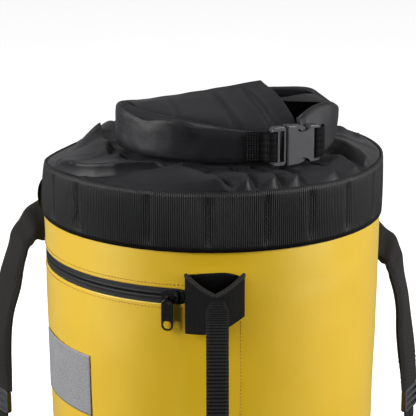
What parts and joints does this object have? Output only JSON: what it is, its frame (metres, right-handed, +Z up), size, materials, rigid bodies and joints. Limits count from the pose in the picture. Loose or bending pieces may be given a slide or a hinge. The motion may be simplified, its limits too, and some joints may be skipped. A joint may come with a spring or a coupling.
{
  "type": "roll-top bucket bag",
  "caption": "Cylindrical coated-fabric bucket bag with a stiff webbing rim, a roll-top skirt clipped by a side-release buckle, a zipped pocket, a carry handle and shoulder straps.",
  "frame": {"origin": "centre of the base's underside, on the floor", "axes": "+Z up along the tube, -Y out of the front, where the carry handle is, +X to the right as seen from the front"},
  "size_m": [0.4268, 0.3582, 0.4862],
  "materials": {
    "coated_yellow": "semi-gloss polymer-coated fabric",
    "coated_black": "matte polymer-coated fabric",
    "webbing": "ribbed woven webbing",
    "skirt_nylon": "satin woven nylon",
    "buckle_plastic": "satin moulded acetal",
    "zip_tape": "woven zip tape",
    "zip_teeth": "nylon coil",
    "zip_metal": "black painted zinc",
    "grey_patch": "matte grey print",
    "padded_cloth": "textured padded cloth",
    "stiffener": "plain polyethylene strip"
  },
  "bodies": {
    "bag": {"body_wall": "coated_yellow", "base_sole": "coated_black", "base_boot": "coated_black", "base_panel": "coated_black", "base_binding": "webbing", "rim_webbing": "webbing", "rim_stiffener": "stiffener", "rim_facing": "webbing", "closure_skirt": "skirt_nylon", "zip_tape_upper": "zip_tape", "zip_tape_lower": "zip_tape", "zip_teeth_upper": "zip_teeth", "zip_teeth_lower": "zip_teeth", "zip_stop_far": "zip_metal", "zip_stop_near": "zip_metal", "pocket_bag": "skirt_nylon", "handle_top_patch": "webbing", "handle_top_fold": "webbing", "handle_bottom_patch": "webbing", "handle_bottom_fold": "webbing", "grey_patch": "grey_patch", "back_pad": "padded_cloth", "strap_yoke": "webbing", "haul_loop_left": "webbing", "haul_loop_right": "webbing", "strap_foot_left": "webbing", "strap_foot_right": "webbing", "strap_webbing_left": "webbing", "strap_webbing_right": "webbing"},
    "closure": {"roll_middle": "skirt_nylon", "roll_left_arm": "skirt_nylon", "roll_right_arm": "skirt_nylon", "buckle_socket": "buckle_plastic", "socket_tab": "webbing"},
    "plug": {"buckle_plug": "buckle_plastic", "plug_tab": "webbing"},
    "prong_top": {"prong_upper": "buckle_plastic"},
    "prong_bottom": {"prong_lower": "buckle_plastic"},
    "slider": {"zip_slider": "zip_metal"},
    "pull": {"zip_pull": "zip_metal"},
    "grip": {"front_grip": "webbing"},
    "strap_left": {"strap_pad_left": "padded_cloth", "ladder_lock_left": "buckle_plastic"},
    "strap_right": {"strap_pad_right": "padded_cloth", "ladder_lock_right": "buckle_plastic"}
  },
  "joints": [
    {"name": "closure_lift", "type": "slide", "parent": "bag", "child": "closure", "axis": [0, 0, 1], "range_m": [0, 0.06], "deforming": ["closure_skirt"]},
    {"name": "buckle_slide", "type": "slide", "parent": "closure", "child": "plug", "axis": [-0.891, -0.454, 0], "range_m": [0, 0.026], "deforming": ["prong_upper", "prong_lower", "roll_left_arm"]},
    {"name": "prong_upper_squeeze", "type": "hinge", "parent": "plug", "child": "prong_top", "pos_m": [0.0602, -0.0935, 0.4576], "axis": [0.454, -0.891, 0], "range_deg": [-8, 0], "stiffness_Nm_per_rad": 0.3},
    {"name": "prong_lower_squeeze", "type": "hinge", "parent": "plug", "child": "prong_bottom", "pos_m": [0.0602, -0.0935, 0.434], "axis": [0.454, -0.891, 0], "range_deg": [0, 8], "stiffness_Nm_per_rad": 0.3},
    {"name": "zip_slide", "type": "hinge", "parent": "bag", "child": "slider", "pos_m": [0, 0, 0.3316], "axis": [0, 0, 1], "range_deg": [-85, 0]},
    {"name": "zip_pull_swing", "type": "hinge", "parent": "slider", "child": "pull", "pos_m": [-0.03633, -0.14797, 0.3316], "axis": [0.9733, -0.2295, 0], "range_deg": [-145, 0]},
    {"name": "front_grip_swing", "type": "hinge", "parent": "bag", "child": "grip", "pos_m": [0.00287, -0.18245, 0.2215], "axis": [0, 0, 1], "range_deg": [-40, 40]},
    {"name": "strap_left_swing", "type": "hinge", "parent": "bag", "child": "strap_left", "pos_m": [-0.04194, 0.14922, 0.346], "axis": [0, 0, 1], "range_deg": [-30, 0], "deforming": ["strap_webbing_left"]},
    {"name": "strap_right_swing", "type": "hinge", "parent": "bag", "child": "strap_right", "pos_m": [0.04194, 0.14922, 0.346], "axis": [0, 0, 1], "range_deg": [0, 30], "deforming": ["strap_webbing_right"]}
  ],
  "couplings": [
    {"joint": "prong_lower_squeeze", "follows": "prong_upper_squeeze", "ratio": -1}
  ]
}
